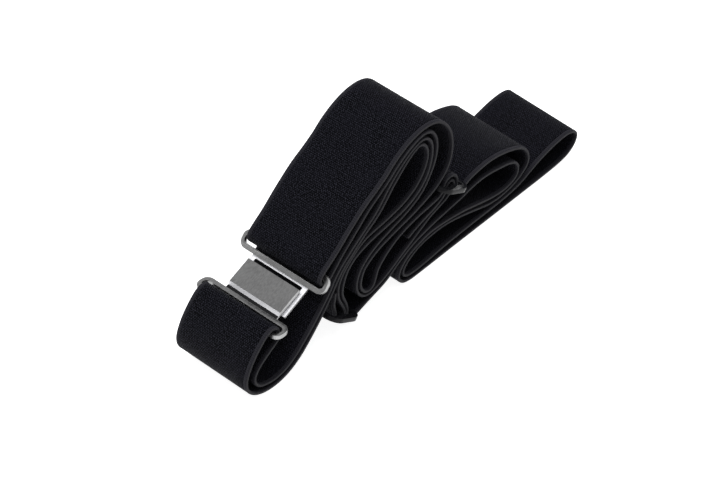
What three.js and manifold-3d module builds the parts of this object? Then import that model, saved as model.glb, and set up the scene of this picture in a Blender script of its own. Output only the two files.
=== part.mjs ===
// A long elastic strap, folded to and fro and laid on a table, with a two-part hook clasp
// and two three-bar adjusters. Millimetres, +Z up. X runs along the folded pile from the
// clasp to the last fold, Y runs across the strap. The origin is on the table, at the
// middle of the pile.
import * as THREE from 'three';
import { mergeVertices } from 'three/addons/utils/BufferGeometryUtils.js';
import Module from 'manifold-3d';

const wasm = await Module();
wasm.setup();

// ---- driving dimensions ----------------------------------------------------------------
const STRAP_WIDTH = 36.4;
const STRAP_THICKNESS = 1.2;
const ROUTE_STEPS = 3; // straight facets between two neighbouring route points

const SIDE_PLAY = 1.1; // clearance between a strap edge and the metal or plastic beside it
const CLASP_BAR = 1.9; // width of each bar of a clasp loop
const CLASP_SIDE = 1.3; // width of the short sides of a clasp loop
const CLASP_THICKNESS = 1.7;
const CLASP_LOOP_PITCH = 5.4; // from the knuckle bar to the strap bar
const CLASP_LOOP_CORNER = 3;
const CLASP_LOOP_BEND = 26.5; // degrees that each loop rises out of the clasp's own plane
const CLASP_CENTRE = [-65.8, 0.4, 27.45]; // the middle of the cover's top face
const CLASP_SLOPE = 22.5; // degrees, rising towards +X

const UPPER_KNUCKLE = [9.2, -1.8]; // along and above the cover, in the clasp's plane
const LOWER_KNUCKLE = [-9.4, 0.6];

const COVER_LENGTH = 10.8;
const COVER_WIDTH = 25;
const COVER_THICKNESS = 1.6;
const COVER_CHAMFER = 1.2;
const NECK_THICKNESS = 0.8;
const NECK_ROOT = 0.4; // how far the neck runs into the knuckle bar
const NECK_LIP = 0.8; // width of the neck's upturned end, inside the bar
const CATCH_GAP = 0.8; // between the cover's underside and the eye plate
const HOOK_THICKNESS = 1.2;
const HOOK_SETBACK = 0.7; // from the cover's free edge to the hook
const HOOK_REACH = 0.8; // how far the hook comes out below the eye plate
const EYE_THICKNESS = 1;
const EYE_WIDTH = 27.2;
const EYE_SIDE = 2; // metal left beside the eye
const EYE_LENGTH = 4.6;
const EYE_CORNER = 0.6; // radius at the corners of the eye plate and of its eye
const HOOK_CLEARANCE = 0.7;

const ADJUSTER_PITCH = 7.4; // from the centre bar to each outer bar
const ADJUSTER_BAR = 2;
const ADJUSTER_SIDE = 2.8;
const ADJUSTER_THICKNESS = 1.8;
const ADJUSTER_CORNER = 5;
const ADJUSTER_SLOT_CORNER = 0.8;
const REAR_ADJUSTER = { centre: [15, 32.5], slope: -27 };
const FRONT_ADJUSTER = { centre: [-45.7, 10], slope: -30 };

const TACK_LENGTH = 30;
const TACK_WIDTH = 1.8;
const TACK_HEIGHT = 0.5;
const TACK_CORNER = 0.5;
const TACK_GAP = 0.3; // from the strap's face, room for the thread's lift
const REAR_TACK_AT = [5, 27.2];
const REAR_TACK_SLOPE = 17;
const FRONT_TACK_AT = [-48.5, 19.4];
const FRONT_TACK_SLOPE = 82;

// ---- materials --------------------------------------------------------------------------
const elastic = new THREE.MeshStandardMaterial({ color: 0x14141a, roughness: 0.9, metalness: 0 });
const gunmetal = new THREE.MeshStandardMaterial({ color: 0x8a8a8c, roughness: 0.3, metalness: 1 });
const plastic = new THREE.MeshStandardMaterial({ color: 0x0b0b0c, roughness: 0.15, metalness: 0 });
const thread = new THREE.MeshStandardMaterial({ color: 0x101014, roughness: 0.8, metalness: 0 });

// ---- helpers ----------------------------------------------------------------------------
const radians = THREE.MathUtils.degToRad;

function toSolid(geometry) {
  const bare = geometry.clone();
  bare.deleteAttribute('normal');
  bare.deleteAttribute('uv');
  const merged = mergeVertices(bare, 1e-4);
  return new wasm.Manifold(new wasm.Mesh({
    numProp: 3,
    vertProperties: Float32Array.from(merged.attributes.position.array),
    triVerts: Uint32Array.from(merged.index.array),
  }));
}

function toGeometry(solid) {
  const { vertProperties, triVerts } = solid.getMesh();
  const geometry = new THREE.BufferGeometry();
  geometry.setAttribute('position', new THREE.BufferAttribute(vertProperties, 3));
  geometry.setIndex(new THREE.BufferAttribute(triVerts, 1));
  geometry.computeVertexNormals();
  return geometry;
}

function named(name, geometry, material) {
  const mesh = new THREE.Mesh(geometry, material);
  mesh.name = name;
  return mesh;
}

// A rectangle with round corners, as an outline or as the hole in one.
function roundedRectangle(Kind, x0, y0, x1, y1, radius) {
  const outline = new Kind();
  outline.moveTo(x0 + radius, y0);
  outline.lineTo(x1 - radius, y0);
  outline.absarc(x1 - radius, y0 + radius, radius, -Math.PI / 2, 0);
  outline.lineTo(x1, y1 - radius);
  outline.absarc(x1 - radius, y1 - radius, radius, 0, Math.PI / 2);
  outline.lineTo(x0 + radius, y1);
  outline.absarc(x0 + radius, y1 - radius, radius, Math.PI / 2, Math.PI);
  outline.lineTo(x0, y0 + radius);
  outline.absarc(x0 + radius, y0 + radius, radius, Math.PI, Math.PI * 1.5);
  return outline;
}

// Extrudes a plan outline in X and Y, with its thickness centred on Z = 0.
function plate(outline, thickness, curveSegments = 6) {
  const geometry = new THREE.ExtrudeGeometry(outline, {
    depth: thickness, bevelEnabled: false, curveSegments,
  });
  return geometry.translate(0, 0, -thickness / 2);
}

// Extrudes a side outline in X and Z across the strap, centred on Y = 0.
function acrossStrap(outline, width) {
  const geometry = new THREE.ExtrudeGeometry(outline, { depth: width, bevelEnabled: false });
  return geometry.translate(0, 0, -width / 2).rotateX(Math.PI / 2);
}

// ---- the strap --------------------------------------------------------------------------
// The strap's middle line, seen from its near edge, as x and z. It starts at the end that is
// sewn back on itself at the rear adjuster and finishes at the one at the front adjuster.
const route = [
  // sewn end, and once round the rear adjuster's centre bar
  [-8.5, 22.4], [-4, 24.3], [1, 25.9], [5, 27], [8.7, 28.4], [11.1, 29.8], [12.4, 31.3],
  [12.7, 33], [13.6, 34.4], [15, 34.9], [16.5, 34.3], [17.3, 32.9], [17.1, 31.1], [15.6, 29.4],
  [12.6, 27.7], [8.8, 26.4], [4.2, 24.9], [0, 22.8], [-4, 20.6], [-7.4, 18.8], [-11, 16.9],
  // down to the rear lower turn, and back up under the top panel
  [-15, 14.7], [-19.4, 12.3], [-23.4, 10.6], [-26.8, 9.6], [-29.8, 9.2], [-32.4, 10],
  [-34.6, 11.9], [-36, 14.4], [-36.6, 17.4], [-36.1, 20.9], [-34.5, 24.3], [-31.3, 27.6],
  [-25.6, 30.9], [-17.7, 33.6], [-8.9, 36.4], [-1.3, 40.8], [3, 46.4], [5.4, 51.4],
  [6.5, 57], [5.6, 62.4], [2.9, 66.2], [-0.9, 67.4], [-5.6, 66.6], [-10.6, 64.3], [-15.4, 61.2],
  [-19.8, 57.6], [-24.6, 54.3], [-30.2, 50.7], [-35.5, 46.2], [-40.2, 42.1], [-44.7, 38.2],
  // round the upper half of the clasp
  [-48.2, 34.6], [-51.6, 31.3], [-53.1, 30.7], [-54.5, 31.1], [-55.5, 32.2], [-55.8, 33.6],
  [-55.2, 35.1], [-53.6, 36.7], [-51, 38.6], [-47.5, 41.1], [-42.5, 45.3], [-37.5, 49.3], [-32, 53.3], [-26, 56.7],
  [-21, 59.8], [-16.5, 63.4], [-11.5, 66.4], [-6, 68.6], [-0.5, 69.5], [4, 69.1], [8, 67.5],
  // over the top, down, and round the front lower turn
  [11.7, 64], [14.6, 58.5], [15.5, 52], [14.5, 46], [12, 41.7], [8.5, 38.7], [5.1, 36.7],
  [1, 35.2], [-6.5, 32.9], [-16, 30.8], [-24.2, 28.6], [-29.5, 26.1], [-32.8, 23.4],
  [-34.2, 20.3], [-34.7, 17], [-34, 14.4], [-32.3, 12.2], [-30, 11.3], [-28, 12.2],
  [-26.6, 15], [-25.4, 18.2], [-22.8, 21.3], [-19.4, 24], [-13.5, 27.2], [-4.5, 29.6],
  [5, 30.8], [8.5, 31.5], [10.4, 32.9], [11.1, 34.9], [12.6, 36.7], [15, 37.3], [17.5, 36.3],
  [18.9, 34], [19.1, 31.2], [19.2, 28.8], [20.1, 27.1], [21.9, 26.5], [24, 27.3],
  // the second fold
  [26.5, 28.4], [32, 29.4], [38, 29.7], [42.4, 29.3], [47.2, 28.3], [52.2, 26.7],
  [56.8, 24.7], [60.4, 22], [62.7, 17.9], [62.7, 14], [60.1, 11.1], [56.4, 9.1], [51.5, 7.7],
  [45.5, 7.2], [39.4, 7.8], [33.3, 9.6], [27.2, 11.5], [21.2, 13.2], [16.1, 14.4], [11, 15.1],
  [5.4, 15.1], [-0.9, 14.3], [-4.2, 13.2], [-7, 11.8], [-9.5, 9.9], [-10.9, 7.8],
  [-10.9, 5.7], [-9.3, 4.1], [-6, 3.3], [-1.5, 3.3], [3.2, 3.6],
  // the last fold, with its lower layer on the table
  [13, 4.5], [22.7, 4.9], [33.5, 5], [45.6, 5], [51.7, 5.4], [57.8, 6.3], [63.8, 8.3],
  [69.9, 10.4], [76.5, 11.9], [82.5, 12.7], [88, 12.6], [92, 11.3], [93.9, 9], [93.7, 6.4],
  [91.9, 3.9], [88.3, 1.9], [83.5, 1], [76, 0.6], [58, 0.6], [38, 0.6], [18, 0.6], [-2, 0.6],
  [-7.5, 0.9], [-11, 2.1], [-13.1, 4.5], [-13.4, 7.3], [-12.3, 9.9], [-10.2, 12.2],
  [-7.7, 13.9], [-4.9, 15.1], [-1.5, 16.1], [4.2, 17.2], [14.8, 16.5], [24.1, 14.8],
  [30.1, 13.2], [36.2, 11.5], [42.3, 10.1], [48.4, 9.6], [53, 10.5], [55.8, 12.4],
  [56.4, 15.7], [54.5, 19], [50.6, 21], [44.4, 22.5], [38.4, 23.6], [32.4, 23.9],
  [26.6, 23.2], [22.5, 22.3], [16.7, 21.6], [7.5, 20.3], [2.4, 19.4], [-5.3, 17.4],
  // along under the pile to the front adjuster
  [-10.1, 15.3], [-14.3, 13], [-18.5, 10.3], [-22.5, 8.5], [-27, 7.2], [-32.5, 5.6],
  [-36.3, 4.4], [-39.3, 3.9], [-41, 4.7], [-41.6, 6.6], [-41.6, 9.3], [-42.1, 12.4],
  [-43.2, 15.5], [-44.2, 18.6], [-44.2, 21.4], [-43.3, 25.2], [-41.3, 29.2], [-37.5, 32.5],
  [-34.3, 33.9], [-29.2, 35.4], [-20.2, 36.8], [-10.5, 38.7], [-3.2, 42.3], [1.1, 47],
  [3.1, 51.8], [3.9, 56], [3.5, 60.6], [1.3, 64], [-2, 65.2], [-6.5, 64.1], [-11, 61.6],
  [-15, 58.6], [-19, 55], [-22.7, 50.9], [-26.5, 46.9], [-32.7, 42.5], [-37.5, 39.2],
  [-40.5, 37], [-45.2, 33.2], [-48.4, 29.6], [-51.2, 25.3], [-54.9, 20.8], [-59.5, 15.6],
  [-64.3, 10.9], [-67.9, 7.7], [-71.7, 5.1], [-75.4, 3.5], [-80.1, 2.9], [-84.1, 3.6],
  [-87.6, 5.2], [-89.5, 7.6], [-89.8, 10.6], [-87.8, 13.9], [-83.7, 17.2], [-79.8, 19.6],
  // round the lower half of the clasp, and the front curl
  [-77.8, 21], [-76.9, 22.7], [-77.2, 24.7], [-78.2, 26.7], [-80.4, 27.8], [-83.2, 27],
  [-86.4, 24.4], [-89.5, 21.1], [-92.2, 17.2], [-94.2, 12.6], [-94.1, 8.4], [-91.7, 4.6],
  [-87.4, 1.9], [-82.3, 0.7], [-77.2, 0.9], [-71.9, 2.5], [-66.9, 5.5], [-62.6, 9.3],
  [-57.9, 14.1], [-53.4, 19.3], [-49.9, 23.9], [-47.1, 28], [-44, 31.7], [-39.5, 35.3],
  [-37.5, 36.9], [-33, 40.3], [-25.4, 45.2], [-21.3, 49.3], [-17.6, 53.4], [-13.7, 57],
  [-9.8, 60.2], [-5.7, 62.7], [-2.5, 63.3], [-0.2, 61.9], [1.4, 58.7], [1.6, 55.2],
  [0.7, 52], [-1.2, 48.4], [-5, 44.4], [-12, 41], [-21.5, 39.1], [-30.6, 37.9],
  [-34.2, 36.6], [-37.4, 34.6], [-42.2, 30.8], [-45.1, 27.2], [-46.3, 24], [-46.6, 20.9],
  // once round the front adjuster's centre bar, and the other sewn end
  [-46.2, 18.2], [-45.2, 15.3], [-44, 12.4], [-43.4, 9.9], [-44.1, 8.2], [-45.8, 7.6],
  [-47.4, 8.3], [-48.1, 10.1], [-48.2, 12.3], [-48.6, 14.9], [-48.9, 17.6], [-48.4, 20],
  [-48.1, 22.4],
];

function strapSolid() {
  const points = route.map(([x, z]) => new THREE.Vector3(x, 0, z));
  const middle = new THREE.CatmullRomCurve3(points, false, 'centripetal');
  const count = (route.length - 1) * ROUTE_STEPS;
  const front = [];
  const back = [];
  for (let i = 0; i <= count; i += 1) {
    const at = middle.getPoint(i / count);
    const along = middle.getTangent(i / count);
    const half = STRAP_THICKNESS / 2;
    front.push(new THREE.Vector2(at.x - along.z * half, at.z + along.x * half));
    back.push(new THREE.Vector2(at.x + along.z * half, at.z - along.x * half));
  }
  return acrossStrap(new THREE.Shape([...front, ...back.reverse()]), STRAP_WIDTH);
}

// ---- the clasp --------------------------------------------------------------------------
const LOOP_INNER_HALF = STRAP_WIDTH / 2 + SIDE_PLAY;
const LOOP_OUTER_HALF = LOOP_INNER_HALF + CLASP_SIDE;

// A loop that the strap runs round. Its knuckle bar is at X = 0 and its strap bar at +X.
function claspLoop() {
  const half = CLASP_BAR / 2;
  const outline = roundedRectangle(THREE.Shape, -half, -LOOP_OUTER_HALF,
    CLASP_LOOP_PITCH + half, LOOP_OUTER_HALF, CLASP_LOOP_CORNER);
  outline.holes.push(roundedRectangle(THREE.Path, half, -LOOP_INNER_HALF,
    CLASP_LOOP_PITCH - half, LOOP_INNER_HALF, CLASP_LOOP_CORNER - CLASP_SIDE));
  return plate(outline, CLASP_THICKNESS);
}

// The upper half: its loop, and an eye plate that lies under the cover.
function upperHalf() {
  const loop = claspLoop().rotateY(-radians(CLASP_LOOP_BEND))
    .translate(UPPER_KNUCKLE[0], 0, UPPER_KNUCKLE[1]);
  const eyeTop = -COVER_THICKNESS - CATCH_GAP;
  const outline = roundedRectangle(THREE.Shape, -COVER_LENGTH / 2, -EYE_WIDTH / 2,
    UPPER_KNUCKLE[0], EYE_WIDTH / 2, EYE_CORNER);
  const eyeStart = COVER_LENGTH / 2 - HOOK_SETBACK - HOOK_THICKNESS - HOOK_CLEARANCE;
  const eyeHalf = EYE_WIDTH / 2 - EYE_SIDE;
  outline.holes.push(roundedRectangle(THREE.Path, eyeStart, -eyeHalf,
    eyeStart + EYE_LENGTH, eyeHalf, EYE_CORNER));
  const eye = plate(outline, EYE_THICKNESS, 3).translate(0, 0, eyeTop - EYE_THICKNESS / 2);
  return toGeometry(toSolid(loop).add(toSolid(eye)));
}

// The lower half: its loop, a thin neck, and the cover with the hook under its free edge.
function lowerHalf() {
  const loop = claspLoop().rotateZ(Math.PI).rotateY(radians(CLASP_LOOP_BEND))
    .translate(LOWER_KNUCKLE[0], 0, LOWER_KNUCKLE[1]);
  const end = COVER_LENGTH / 2;
  const under = -COVER_THICKNESS;
  const neckTop = under + NECK_THICKNESS;
  const neckEnd = LOWER_KNUCKLE[0] + CLASP_BAR / 2 - NECK_ROOT;
  const hookFoot = under - CATCH_GAP - EYE_THICKNESS - HOOK_REACH;
  const hookFace = end - HOOK_SETBACK;
  const profile = new THREE.Shape([
    [neckEnd - NECK_LIP, under], [hookFace - HOOK_THICKNESS, under],
    [hookFace - HOOK_THICKNESS, hookFoot], [hookFace, hookFoot], [hookFace, under],
    [end, under], [end, 0], [-end, 0], [-end - COVER_CHAMFER, -COVER_CHAMFER],
    [-end - COVER_CHAMFER, neckTop], [neckEnd, neckTop], [neckEnd, NECK_ROOT],
    [neckEnd - NECK_LIP, NECK_ROOT],
  ].map(([x, z]) => new THREE.Vector2(x, z)));
  const cover = acrossStrap(profile, COVER_WIDTH);
  const hookSlack = EYE_SIDE + HOOK_CLEARANCE - (EYE_WIDTH - COVER_WIDTH) / 2;
  const trim = new THREE.BoxGeometry(HOOK_THICKNESS * 2, hookSlack, COVER_THICKNESS * 2);
  let solid = toSolid(cover);
  for (const side of [-1, 1]) {
    const y = side * (COVER_WIDTH - hookSlack) / 2;
    const block = trim.clone().translate(hookFace, y, under - COVER_THICKNESS);
    solid = solid.subtract(toSolid(block));
  }
  return toGeometry(toSolid(loop).add(solid));
}

function claspHalf(name, geometry) {
  const mesh = named(name, geometry, gunmetal.clone());
  mesh.position.set(...CLASP_CENTRE);
  mesh.rotation.y = -radians(CLASP_SLOPE);
  return mesh;
}

// ---- the adjusters ----------------------------------------------------------------------
// A moulded frame with three bars: the strap's end is sewn round the centre one.
function adjuster(name, { centre, slope }) {
  const reach = ADJUSTER_PITCH + ADJUSTER_BAR / 2;
  const innerHalf = STRAP_WIDTH / 2 + SIDE_PLAY;
  const outerHalf = innerHalf + ADJUSTER_SIDE;
  const outline = roundedRectangle(THREE.Shape, -reach, -outerHalf, reach, outerHalf,
    ADJUSTER_CORNER);
  for (const side of [-1, 1]) {
    const near = ADJUSTER_BAR / 2;
    const far = ADJUSTER_PITCH - ADJUSTER_BAR / 2;
    outline.holes.push(roundedRectangle(THREE.Path, Math.min(side * near, side * far),
      -innerHalf, Math.max(side * near, side * far), innerHalf, ADJUSTER_SLOT_CORNER));
  }
  const mesh = named(name, plate(outline, ADJUSTER_THICKNESS), plastic.clone());
  mesh.position.set(centre[0], 0, centre[1]);
  mesh.rotation.y = -radians(slope);
  return mesh;
}

// ---- the sewn ends ----------------------------------------------------------------------
// One bar tack across each sewn end, lying on the strap's outer face.
function barTack(name, at, slope) {
  const lift = STRAP_THICKNESS / 2 + TACK_GAP + TACK_HEIGHT / 2;
  const outline = roundedRectangle(THREE.Shape, -TACK_WIDTH / 2, -TACK_LENGTH / 2,
    TACK_WIDTH / 2, TACK_LENGTH / 2, TACK_CORNER);
  const geometry = plate(outline, TACK_HEIGHT, 2).translate(0, 0, lift);
  const mesh = named(name, geometry, thread.clone());
  mesh.position.set(at[0], 0, at[1]);
  mesh.rotation.y = -radians(slope);
  return mesh;
}

// ---- assembly ---------------------------------------------------------------------------
const strapAndClasp = new THREE.Group();
strapAndClasp.add(
  named('webbing', strapSolid(), elastic),
  claspHalf('upper_clasp_half', upperHalf()),
  claspHalf('lower_clasp_half', lowerHalf()),
  adjuster('rear_adjuster', REAR_ADJUSTER),
  adjuster('front_adjuster', FRONT_ADJUSTER),
  barTack('rear_bar_tack', REAR_TACK_AT, REAR_TACK_SLOPE),
  barTack('front_bar_tack', FRONT_TACK_AT, FRONT_TACK_SLOPE),
);

export default strapAndClasp;
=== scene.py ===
"""A wide elastic strap folded to and fro on a table, with a two-part metal hook clasp
and two moulded slide adjusters. Metres, +Z up, in the CAD part's own frame."""

import math

import bmesh
import bpy
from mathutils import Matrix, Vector


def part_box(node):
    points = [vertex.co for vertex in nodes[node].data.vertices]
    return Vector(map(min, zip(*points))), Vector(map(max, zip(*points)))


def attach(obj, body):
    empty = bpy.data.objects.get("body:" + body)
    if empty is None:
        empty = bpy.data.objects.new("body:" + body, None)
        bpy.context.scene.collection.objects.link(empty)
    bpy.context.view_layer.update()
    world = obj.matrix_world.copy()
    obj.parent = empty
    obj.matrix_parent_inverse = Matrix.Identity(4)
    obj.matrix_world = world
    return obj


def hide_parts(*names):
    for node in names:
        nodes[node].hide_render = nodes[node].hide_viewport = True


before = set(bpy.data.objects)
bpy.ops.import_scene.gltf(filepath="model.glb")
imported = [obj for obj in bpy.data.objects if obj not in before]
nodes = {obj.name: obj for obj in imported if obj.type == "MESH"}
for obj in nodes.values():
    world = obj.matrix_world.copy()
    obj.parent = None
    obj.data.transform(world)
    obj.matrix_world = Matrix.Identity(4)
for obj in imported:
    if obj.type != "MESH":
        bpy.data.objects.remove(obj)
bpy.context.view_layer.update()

# ---- camera --------------------------------------------------------------------------------
# It stands at the clasp's end of the pile and to its near side, well above the table, with a
# long lens, so the folds step away behind one another.
LOOK_DOWN = 42.417  # degrees below level
LOOK_ROUND = 48.042  # degrees from straight across the strap towards the far end

camera = bpy.data.objects.new("camera", bpy.data.cameras.new("camera"))
camera.data.sensor_width = 36
camera.data.lens = 110.72
camera.location = (-0.46817, -0.40733, 0.57171)
camera.rotation_euler = (math.radians(90 - LOOK_DOWN), 0, math.radians(-LOOK_ROUND))
bpy.context.scene.collection.objects.link(camera)
bpy.context.scene.camera = camera

# ---- the strap -----------------------------------------------------------------------------
# One length of woven elastic, 36 mm wide, with a firm selvedge along each edge. It is a closed
# ribbon on the middle of the CAD strap. It was folded by hand, so its far edge lies a little
# further along the pile than its near one, and it is drawn in a little at the clasp.
HALF_WIDTH = 0.0182
HALF_THICKNESS = 0.0006
SELVEDGE = 0.0017  # width of the firm band along each edge
SELVEDGE_DIP = 0.00015  # depth of the line that parts it from the body of the weave
DIP_REACH = 0.0003  # half the width of that line
BODY_RISE = 0.95  # height of the body of the weave, as a share of half the thickness
EDGE_ROUND = ((0.0006, 1), (0.00025, 0.86), (0.00006, 0.48), (0, 0))  # in from the rim, rise
LAYER_SHIFT = 0.0002  # how far the layers wander sideways
LAYER_WAVES = ((27, 0, 1), (61, 2, 0.5))  # radians a metre, phase and share of each sway
SKEW = 0.0028  # how far the far edge leads the near one at the last fold
SKEW_FROM, SKEW_TO = -0.04, 0.094  # where along the pile the skew starts, and is full
DRAWN_IN = 0.0011  # how much narrower the strap is in the front curl
CURL_FROM, CURL_LENGTH = -0.060, 0.02  # where it starts to narrow, and over what length
MERGE = 1e-6  # corners of a CAD mesh that lie closer than this are one
MM = 1000  # the strap's own map is in millimetres


def skewed(x, y):
    """How far a point of the pile moves along it, for its place along and across."""
    share = min(max((x - SKEW_FROM) / (SKEW_TO - SKEW_FROM), 0), 1)
    return SKEW * share * (y / HALF_WIDTH + 1) / 2


def near_outline(node):
    """The corners of a CAD strap's near side, in order round it."""
    cloth = bmesh.new()
    cloth.from_mesh(nodes[node].data)
    bmesh.ops.remove_doubles(cloth, verts=cloth.verts, dist=MERGE)
    near = min(v.co.y for v in cloth.verts) + 10 * MERGE
    rim = {}
    for edge in cloth.edges:
        a, b = edge.verts
        sides = {abs(face.normal.y) > 0.5 for face in edge.link_faces}
        if a.co.y < near and b.co.y < near and len(sides) == 2:
            rim.setdefault(a.index, []).append(b)
            rim.setdefault(b.index, []).append(a)
    first = next(v for v in cloth.verts if v.index in rim)
    order, last, here = [first.co.copy()], first, rim[first.index][0]
    while here is not first:
        order.append(here.co.copy())
        last, here = here, next(v for v in rim[here.index] if v is not last)
    cloth.free()
    return order


def middle_line(node):
    """The strap's middle line as points in X and Z, from one cut end to the other."""
    rim = near_outline(node)
    count = len(rim)

    def turn(i):
        before, after = rim[i] - rim[i - 1], rim[(i + 1) % count] - rim[i]
        return before.angle(after)

    # The four sharpest turns are the corners of the two cut ends.
    corners = sorted(sorted(range(count), key=turn)[-4:])
    if corners[1] - corners[0] > 1:
        corners = corners[1:] + corners[:1]
    a, b, c, d = corners
    one = [rim[i % count] for i in range(b, c + 1)]
    other = [rim[i % count] for i in range(d, (a if a > d else a + count) + 1)][::-1]
    if len(one) != len(other):
        raise SystemExit(f"the strap's two faces have {len(one)} and {len(other)} points")
    return [((p + q) / 2).xz for p, q in zip(one, other)]


def section():
    """The strap's cross-section, as (across, up) pairs round a closed ring."""
    inner = HALF_WIDTH - SELVEDGE
    half = [(share * HALF_WIDTH, BODY_RISE) for share in (0, 1 / 3, 2 / 3)]
    half += [
        (inner - DIP_REACH, BODY_RISE),
        (inner, BODY_RISE - SELVEDGE_DIP / HALF_THICKNESS),
        (inner + DIP_REACH, 1),
    ]
    half += [(HALF_WIDTH - inward, rise) for inward, rise in EDGE_ROUND]
    half = [(y, n * HALF_THICKNESS) for y, n in half]
    top = [(-y, n) for y, n in half[:0:-1]] + half
    return top + [(y, -n) for y, n in top[-2:0:-1]]


line = middle_line("webbing")
ring = section()
lengths = [0]
for p, q in zip(line, line[1:]):
    lengths.append(lengths[-1] + (q - p).length)

strap_mesh = bmesh.new()
strap_uv = strap_mesh.loops.layers.uv.new("strap")
rings = []
for i, point in enumerate(line):
    ahead = line[min(i + 1, len(line) - 1)] - line[max(i - 1, 0)]
    ahead.normalize()
    up = Vector((-ahead.y, ahead.x))
    along = lengths[i]
    sway = sum(share * math.sin(along * rate + phase) for rate, phase, share in LAYER_WAVES)
    shift = LAYER_SHIFT * sway
    narrow = DRAWN_IN * min(max((CURL_FROM - point.x) / CURL_LENGTH, 0), 1) / (2 * HALF_WIDTH)
    rings.append([])
    for y, n in ring:
        x, side = point.x + up.x * n, y - narrow * (y + HALF_WIDTH) + shift
        corner = (x + skewed(x, y), side, point.y + up.y * n)
        rings[-1].append(strap_mesh.verts.new(corner))
for i in range(len(rings) - 1):
    for j in range(len(ring)):
        k = (j + 1) % len(ring)
        corners = ((i, j), (i + 1, j), (i + 1, k), (i, k))
        face = strap_mesh.faces.new([rings[at][across] for at, across in corners])
        face.smooth = True
        for loop, (at, across) in zip(face.loops, corners):
            loop[strap_uv].uv = (lengths[at] * MM, ring[across][0] * MM)
for end in (rings[0], rings[-1]):
    cut = strap_mesh.faces.new(end)
    for loop, (y, n) in zip(cut.loops, ring):
        loop[strap_uv].uv = (n * MM, y * MM)
bmesh.ops.recalc_face_normals(strap_mesh, faces=strap_mesh.faces)
strap = bpy.data.objects.new("strap", bpy.data.meshes.new("strap"))
strap_mesh.to_mesh(strap.data)
strap_mesh.free()
bpy.context.scene.collection.objects.link(strap)


class Value:
    """One value in a material's nodes, so that sums of values read as sums."""

    def __init__(self, tree, socket=None):
        self.tree, self.socket = tree, socket

    def node(self, kind, sockets=(), output=0, **settings):
        made = self.tree.nodes.new(kind)
        for name, setting in settings.items():
            setattr(made, name, setting)
        for name, value in dict(sockets).items():
            if isinstance(value, Value):
                self.tree.links.new(value.socket, made.inputs[name])
            else:
                made.inputs[name].default_value = value
        return Value(self.tree, made.outputs[output] if made.outputs else None)

    def math(self, operation, *others):
        return self.node("ShaderNodeMath", enumerate((self, *others)), operation=operation)

    def fade(self, start, end, low=0.0, high=1.0):
        """Rises smoothly from low to high as this value goes from start to end."""
        ends = {"From Min": start, "From Max": end, "To Min": low, "To Max": high}
        return self.node(
            "ShaderNodeMapRange", {"Value": self, **ends}, interpolation_type="SMOOTHSTEP"
        )

    def mix(self, a, b):
        """Colour a where this value is 0, and b where it is 1."""
        return self.node("ShaderNodeMix", {0: self, 6: a, 7: b}, output=2, data_type="RGBA")

    def wave(self, length, phase=0.0):
        """A ripple from 0 to 1 that repeats every length of this value."""
        return (self * (2 * math.pi / length) + phase).math("SINE") * 0.5 + 0.5

    def __add__(self, other):
        return self.math("ADD", other)

    def __mul__(self, other):
        return self.math("MULTIPLY", other)

    def __sub__(self, other):
        return self.math("SUBTRACT", other)

    def __truediv__(self, other):
        return self.math("DIVIDE", other)

    def __rsub__(self, other):
        return self * -1.0 + other

    __radd__ = __add__
    __rmul__ = __mul__


def new_material(name):
    made = bpy.data.materials.new(name)
    made.use_nodes = True
    made.node_tree.nodes.clear()
    return made, Value(made.node_tree)


def close_material(start, sockets, height=None, distance=0.0001, strength=1.0):
    """Ends a material in one Principled surface, with height as its relief."""
    if height is not None:
        relief = {"Height": height, "Distance": distance, "Strength": strength}
        sockets = {**sockets, "Normal": start.node("ShaderNodeBump", relief)}
    shader = start.node("ShaderNodeBsdfPrincipled", sockets)
    start.node("ShaderNodeOutputMaterial", {"Surface": shader})


# The elastic: covered rubber ends run along it, and a weft thread crosses them in ribs. The
# crests of the yarn are painted lighter as painted highlight and the hollows darker as painted
# shade; the rim is painted palest, a painted sheen along the edge.
RIB = 0.82  # mm from one weft rib to the next
COLUMN = 0.86  # mm from one warp end to the next
BAND_COLUMN = 0.55  # the same in the selvedge, where the ends are finer
BAND_FROM = (HALF_WIDTH - SELVEDGE) * MM  # where the selvedge starts, from the middle
RIM = HALF_WIDTH * MM
HOLLOW_PAINTED_SHADE, CREST_PAINTED_HIGHLIGHT = (0.0002, 0.0002, 0.0006, 1), (0.0160, 0.0162, 0.0225, 1)
YARN_FADED = (0.0050, 0.0050, 0.0080, 1)
BAND_HOLLOW_PAINTED_SHADE, BAND_CREST_PAINTED_HIGHLIGHT = (0.0110, 0.0108, 0.0135, 1), (0.0230, 0.0225, 0.0275, 1)
RIM_PAINTED_SHEEN = (0.029, 0.0285, 0.031, 1)

elastic, start = new_material("woven_elastic")
place = start.node("ShaderNodeUVMap", uv_map="strap")
along = start.node("ShaderNodeSeparateXYZ", {0: place}, output=0)
across = start.node("ShaderNodeSeparateXYZ", {0: place}, output=1)
yarn = start.node(
    "ShaderNodeTexNoise", {"Vector": place, "Scale": 1.3, "Detail": 3.0, "Roughness": 0.7}
)
fibres = start.node(
    "ShaderNodeTexNoise", {"Vector": place, "Scale": 1.5, "Detail": 2.0, "Roughness": 0.6}
)
cloudy = start.node("ShaderNodeTexNoise", {"Vector": place, "Scale": 0.09, "Detail": 2.0})
from_middle = across.math("ABSOLUTE")
rib = (along + yarn * 0.9).wave(RIB)
stagger = (along / RIB).math("FLOOR").math("MODULO", 2.0) * math.pi
column = across.wave(COLUMN, stagger)
edge_band = from_middle.fade(BAND_FROM - 0.15, BAND_FROM + 0.15)
line_rise = from_middle.fade(BAND_FROM - 0.3, BAND_FROM - 0.05)
cord_line = line_rise * from_middle.fade(BAND_FROM - 0.05, BAND_FROM + 0.2, 1.0, 0.0)
outer_edge = from_middle.fade(RIM - 0.32, RIM - 0.08)
weave = rib * 0.4 + column * 0.6
band_weave = across.wave(BAND_COLUMN) * 0.6 + rib * 0.4
height = weave * (1 - edge_band) + band_weave * edge_band - cord_line * 1.2 + yarn * 0.3
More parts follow.
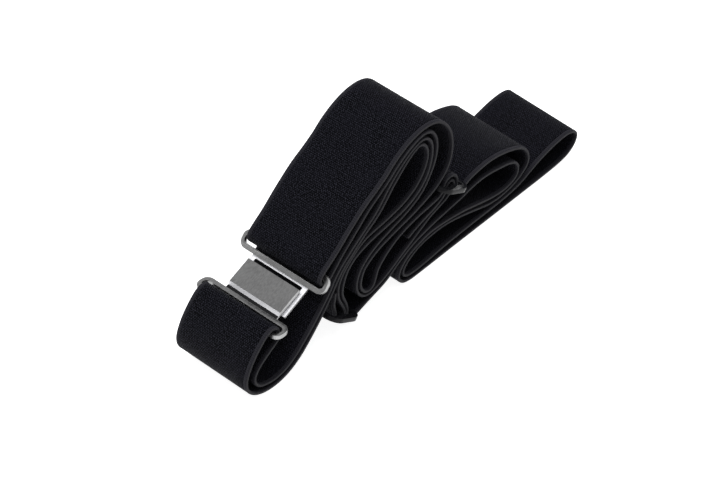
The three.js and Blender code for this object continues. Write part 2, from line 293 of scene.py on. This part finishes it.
crest = (weave * 0.5 + fibres * 1.1).fade(0.75, 1.1)
# painted highlight on the crests of the yarn, painted shade in its hollows
body = crest.mix(HOLLOW_PAINTED_SHADE, CREST_PAINTED_HIGHLIGHT)
body = cloudy.fade(0.35, 0.65, 0.0, 0.25).mix(body, YARN_FADED)
# the selvedge's finer columns: its own pattern, with painted highlight and shade on it
body = (edge_band * 0.8).mix(body, band_weave.mix(BAND_HOLLOW_PAINTED_SHADE, BAND_CREST_PAINTED_HIGHLIGHT))
# the rim is painted palest, a painted sheen where the edge catches the light
body = outer_edge.mix(body, RIM_PAINTED_SHEEN)
close_material(
    start,
    {
        "Base Color": body,
        "Roughness": crest * -0.12 + 0.82,
        "Sheen Weight": 0.025,
        "Sheen Roughness": 0.35,
        "Sheen Tint": (0.75, 0.78, 0.9, 1),
        "Specular IOR Level": 0.07,
    },
    height, 0.00022, 0.8,
)
strap.data.materials.append(elastic)
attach(strap, "strap")
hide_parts("webbing")

# ---- the clasp -----------------------------------------------------------------------------
# Two stamped and plated halves of gunmetal-coloured steel. Each has a loop that the strap
# runs round; the lower one's cover plate hooks down into an eye in the upper one's tongue.
# They are the CAD halves with every edge broken, in satin with a painted highlight and painted
# shade.
CLASP_EDGE, CLASP_EDGE_STEPS = 0.00045, 2  # width of the broken edges, and steps across it
SHARP = math.radians(25)  # an edge that turns less than this is left as it is
FLAT = math.radians(0.5)  # faces that turn less than this from one another are one
COVER_MIDDLE = Vector((-0.0658, 0, 0.02745))  # middle of the cover plate
COVER_SLOPE = math.radians(22.5)
COVER_CHAMFER_TILT = math.radians(45)  # from the cover's face to its sloping front
# how far a face may lean from the way that is given the painted highlight
HIGHLIGHT_LEAN = 0.97  # cosine of how far a polished face may lean from its direction
NECK = (-0.0092, -0.0057)  # the sunk step below the cover, along its slope


def softened(node, name, width, segments):
    """A copy of a CAD node with its hard edges rounded."""
    metal = bmesh.new()
    metal.from_mesh(nodes[node].data)
    bmesh.ops.remove_doubles(metal, verts=metal.verts, dist=MERGE)
    bmesh.ops.dissolve_limit(metal, angle_limit=FLAT, verts=metal.verts, edges=metal.edges)
    rough = bpy.data.meshes.new(name + "_rough")
    metal.to_mesh(rough)
    metal.free()
    rough.shade_smooth()
    piece = bpy.data.objects.new(name, rough)
    bpy.context.scene.collection.objects.link(piece)
    bevel = piece.modifiers.new("rounded edges", "BEVEL")
    bevel.width = width
    bevel.segments = segments
    bevel.limit_method = "ANGLE"
    bevel.angle_limit = SHARP
    bevel.use_clamp_overlap = True
    bevel.harden_normals = True
    ready = piece.evaluated_get(bpy.context.evaluated_depsgraph_get())
    piece.data = bpy.data.meshes.new_from_object(ready)
    piece.modifiers.clear()
    piece.data.name = name
    return piece


satin, start = new_material("satin_gunmetal")
place = start.node("ShaderNodeTexCoord", output=3)
stretched = start.node("ShaderNodeMapping", {"Vector": place, "Scale": (90.0, 2200.0, 2200.0)})
brushing = start.node("ShaderNodeTexNoise", {"Vector": stretched, "Scale": 1.0, "Detail": 4.0})
patches = start.node("ShaderNodeTexNoise", {"Vector": place, "Scale": 160.0, "Detail": 3.0})
close_material(
    start,
    {
        "Base Color": (brushing * 0.7 + patches * 0.3).fade(0.35, 0.65).mix(
            (0.29, 0.29, 0.292, 1), (0.40, 0.40, 0.402, 1)
        ),
        "Metallic": 1.0,
        "Roughness": brushing * 0.10 + patches * 0.08 + 0.28,
    },
    brushing, 0.00001, 0.35,
)

# Painted highlight: near-white steel for the polished faces that turn to the light.
painted_highlight, start = new_material("polished_steel_painted_highlight")
place = start.node("ShaderNodeTexCoord", output=3)
highlight_mottle = start.node("ShaderNodeTexNoise", {"Vector": place, "Scale": 260.0, "Detail": 2.0})
close_material(
    start,
    {
        "Base Color": highlight_mottle.fade(0.3, 0.7).mix((0.90, 0.90, 0.94, 1), (0.96, 0.96, 0.99, 1)),
        "Metallic": 0.3,
        "Roughness": highlight_mottle * 0.08 + 0.16,
    },
    highlight_mottle, 0.00001, 0.1,
)

# Painted shade: a near-black surface for the sunk step under the cover, standing in for the
# shade there.
painted_shade_step, start = new_material("painted_shade_recess")
place = start.node("ShaderNodeTexCoord", output=3)
shade_mottle = start.node("ShaderNodeTexNoise", {"Vector": place, "Scale": 500.0, "Detail": 3.0})
close_material(
    start,
    {
        "Base Color": shade_mottle.mix((0.010, 0.010, 0.011, 1), (0.030, 0.030, 0.032, 1)),
        "Metallic": 0.8,
        "Roughness": shade_mottle * 0.15 + 0.4,
    },
    shade_mottle, 0.00001, 0.3,
)

# The cover's sloping front and the top of the tongue are painted near white: a painted highlight
# on the faces that turn to the light. The step between the cover and the loop is painted near
# black as painted shade under the cover, and all the rest is satin.
plate_materials = (satin, painted_highlight, painted_shade_step)
uphill = Vector((math.cos(COVER_SLOPE), 0, math.sin(COVER_SLOPE)))
for half, highlight_tilt in (("upper", COVER_SLOPE), ("lower", COVER_SLOPE + COVER_CHAMFER_TILT)):
    plate = softened(f"{half}_clasp_half", f"{half}_clasp_plate", CLASP_EDGE, CLASP_EDGE_STEPS)
    for one_material in plate_materials:
        plate.data.materials.append(one_material)
    highlight_way = Vector((-math.sin(highlight_tilt), 0, math.cos(highlight_tilt)))
    for face in plate.data.polygons:
        along_slope = (face.center - COVER_MIDDLE).dot(uphill)
        # faces turned to the light get the painted highlight
        if face.normal.dot(highlight_way) > HIGHLIGHT_LEAN:
            face.material_index = plate_materials.index(painted_highlight)
        # the sunk step below the cover gets the painted shade
        elif half == "lower" and NECK[0] < along_slope < NECK[1]:
            face.material_index = plate_materials.index(painted_shade_step)
    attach(plate, f"{half}_clasp")
    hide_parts(f"{half}_clasp_half")

# ---- the adjusters -------------------------------------------------------------------------
# Injection-moulded three-bar slides in glossy black plastic, with full round edges so that
# the elastic runs over them. One sewn strap end is held on the middle bar of each.
SLIDE_EDGE, SLIDE_EDGE_STEPS = 0.0007, 4  # width of the round edges, and steps across it

gloss, start = new_material("glossy_black_plastic")
place = start.node("ShaderNodeTexCoord", output=3)
flow = start.node("ShaderNodeTexNoise", {"Vector": place, "Scale": 120.0, "Detail": 2.0})
scuffs = start.node("ShaderNodeTexNoise", {"Vector": place, "Scale": 900.0, "Detail": 4.0})
close_material(
    start,
    {
        "Base Color": flow.mix((0.004, 0.004, 0.005, 1), (0.008, 0.008, 0.009, 1)),
        "Roughness": scuffs.fade(0.4, 0.75, 0.10, 0.28),
        "Specular IOR Level": 0.12,
    },
    flow, 0.00004, 0.4,
)

for place_name in ("rear", "front"):
    slide = softened(
        f"{place_name}_adjuster", f"{place_name}_slide_frame", SLIDE_EDGE, SLIDE_EDGE_STEPS
    )
    for corner in slide.data.vertices:
        corner.co.x += skewed(corner.co.x, corner.co.y)
    slide.data.materials.append(gloss)
    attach(slide, f"{place_name}_slide")
    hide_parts(f"{place_name}_adjuster")

# ---- the sewn ends -------------------------------------------------------------------------
# Each strap end is turned back on itself and held by one zigzag row of polyester thread,
# which crosses the strap from side to side and sinks a little into the weave.
THREAD = 0.00016  # radius
THREAD_SIDES = 8
STITCHES = 44
STITCH_SWING = 0.0013  # how far along the strap each stitch goes
END_SLOPES = (("rear", 17), ("front", 82))  # degrees that the strap climbs at each sewn end

sewing, start = new_material("twisted_thread")
place = start.node("ShaderNodeTexCoord", output=3)
twist = start.node("ShaderNodeTexWave", {"Vector": place, "Scale": 900.0, "Distortion": 2.0})
close_material(
    start,
    {
        "Base Color": twist.mix((0.006, 0.006, 0.008, 1), (0.020, 0.020, 0.024, 1)),
        "Roughness": 0.55,
    },
    twist, 0.00005, 0.6,
)


def zigzag_tree(thread_material):
    """A row of zigzag stitches, of a given length, width and number."""
    tree = bpy.data.node_groups.new("zigzag_row", "GeometryNodeTree")
    face = tree.interface
    face.new_socket("Geometry", in_out="OUTPUT", socket_type="NodeSocketGeometry")
    for name, kind in (
        ("From", "NodeSocketVector"), ("To", "NodeSocketVector"), ("Swing", "NodeSocketVector"),
        ("Stitches", "NodeSocketInt"), ("Thread radius", "NodeSocketFloat"),
    ):
        face.new_socket(name, in_out="INPUT", socket_type=kind)
    wanted = Value(tree, tree.nodes.new("NodeGroupInput").outputs["From"])
    sizes = {s.name: Value(tree, s) for s in tree.nodes[0].outputs if s.name}
    ends = {"Start": sizes["From"], "End": sizes["To"]}
    row = wanted.node("GeometryNodeCurvePrimitiveLine", ends)
    row = row.node("GeometryNodeResampleCurve", {"Curve": row, "Count": sizes["Stitches"]})
    odd = wanted.node("GeometryNodeInputIndex").math("MODULO", 2.0) - 0.5
    step = odd.node("ShaderNodeVectorMath", {0: sizes["Swing"], "Scale": odd}, operation="SCALE")
    row = row.node("GeometryNodeSetPosition", {"Geometry": row, "Offset": step})
    outline = {"Resolution": THREAD_SIDES, "Radius": sizes["Thread radius"]}
    outline = wanted.node("GeometryNodeCurvePrimitiveCircle", outline)
    sweep = {"Curve": row, "Profile Curve": outline, "Fill Caps": True}
    body = row.node("GeometryNodeCurveToMesh", sweep)
    body = body.node("GeometryNodeRealizeInstances", {"Geometry": body})
    body = body.node("GeometryNodeSetMaterial", {"Geometry": body, "Material": thread_material})
    out = tree.nodes.new("NodeGroupOutput")
    tree.links.new(body.socket, out.inputs["Geometry"])
    return tree


zigzag = zigzag_tree(sewing)
identifiers = {s.name: s.identifier for s in zigzag.interface.items_tree if s.in_out == "INPUT"}
for end, slope in END_SLOPES:
    low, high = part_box(f"{end}_bar_tack")
    centre = (low + high) / 2
    reach = (high.y - low.y) / 2 - 2 * THREAD
    slope = math.radians(slope)
    swing = Vector((math.cos(slope), 0, math.sin(slope))) * STITCH_SWING
    row = bpy.data.objects.new(f"{end}_stitch_row", bpy.data.meshes.new(f"{end}_stitch_row"))
    bpy.context.scene.collection.objects.link(row)
    maker = row.modifiers.new("stitches", "NODES")
    maker.node_group = zigzag
    maker[identifiers["From"]] = centre + Vector((0, -reach, 0))
    maker[identifiers["To"]] = centre + Vector((0, reach, 0))
    maker[identifiers["Swing"]] = swing
    maker[identifiers["Stitches"]] = STITCHES
    maker[identifiers["Thread radius"]] = THREAD
    ready = row.evaluated_get(bpy.context.evaluated_depsgraph_get())
    row.data = bpy.data.meshes.new_from_object(ready)
    row.modifiers.clear()
    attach(row, "strap")
    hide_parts(f"{end}_bar_tack")

# ---- table and light -----------------------------------------------------------------------
# A plain white table under three soft lamps, which only light the dull surfaces. Metal and
# plastic mirror the room alone, which is white low down and grey above, so that flat metal
# shows grey and what leans towards the table shows white.
TABLE_REACH = 0.6  # from its middle to each side
TABLE_TOP = -0.0002  # just under the part's lowest face

floor_mesh = bpy.data.meshes.new("table")
ways = ((-1, -1), (1, -1), (1, 1), (-1, 1))
corners = [(x * TABLE_REACH, y * TABLE_REACH, TABLE_TOP) for x, y in ways]
floor_mesh.from_pydata(corners, [], [(0, 1, 2, 3)])
table = bpy.data.objects.new("table", floor_mesh)
bpy.context.scene.collection.objects.link(table)
white, start = new_material("white_table")
close_material(start, {
    "Base Color": (0.45, 0.45, 0.45, 1), "Roughness": 0.7,
    "Emission Color": (1, 1, 1, 1), "Emission Strength": 0.9,
})
floor_mesh.materials.append(white)


def soft_light(name, place, aim, size, power):
    """A round lamp of the given size and power, turned towards aim."""
    lamp = bpy.data.lights.new(name, "AREA")
    lamp.shape = "DISK"
    lamp.size = size
    lamp.energy = power
    made = bpy.data.objects.new(name, lamp)
    made.location = place
    made.rotation_euler = (Vector(aim) - Vector(place)).to_track_quat("-Z", "Y").to_euler()
    made.visible_glossy = False
    bpy.context.scene.collection.objects.link(made)


soft_light("overhead", (-0.1, 0.1, 1.2), (0, 0, 0), 1.2, 19)
soft_light("side", (-0.9, 0.6, 0.12), (0, 0, 0.03), 0.35, 1.5)
soft_light("far", (0.8, 0.7, 0.6), (0, 0, 0.03), 0.5, 3)

room = bpy.data.worlds.new("pale_room")
room.use_nodes = True
room.node_tree.nodes.clear()
start = Value(room.node_tree)
way = start.node("ShaderNodeTexCoord", output=0)
rise = start.node("ShaderNodeSeparateXYZ", {0: way}, output=2)
glow = rise.fade(-0.3, 0.0, 1.0, 0.55)  # from white below to grey above
sky = start.node("ShaderNodeBackground", {"Color": (1, 1, 1, 1), "Strength": glow})
start.node("ShaderNodeOutputWorld", {"Surface": sky})
bpy.context.scene.world = room
bpy.context.scene.view_settings.view_transform = "Standard"
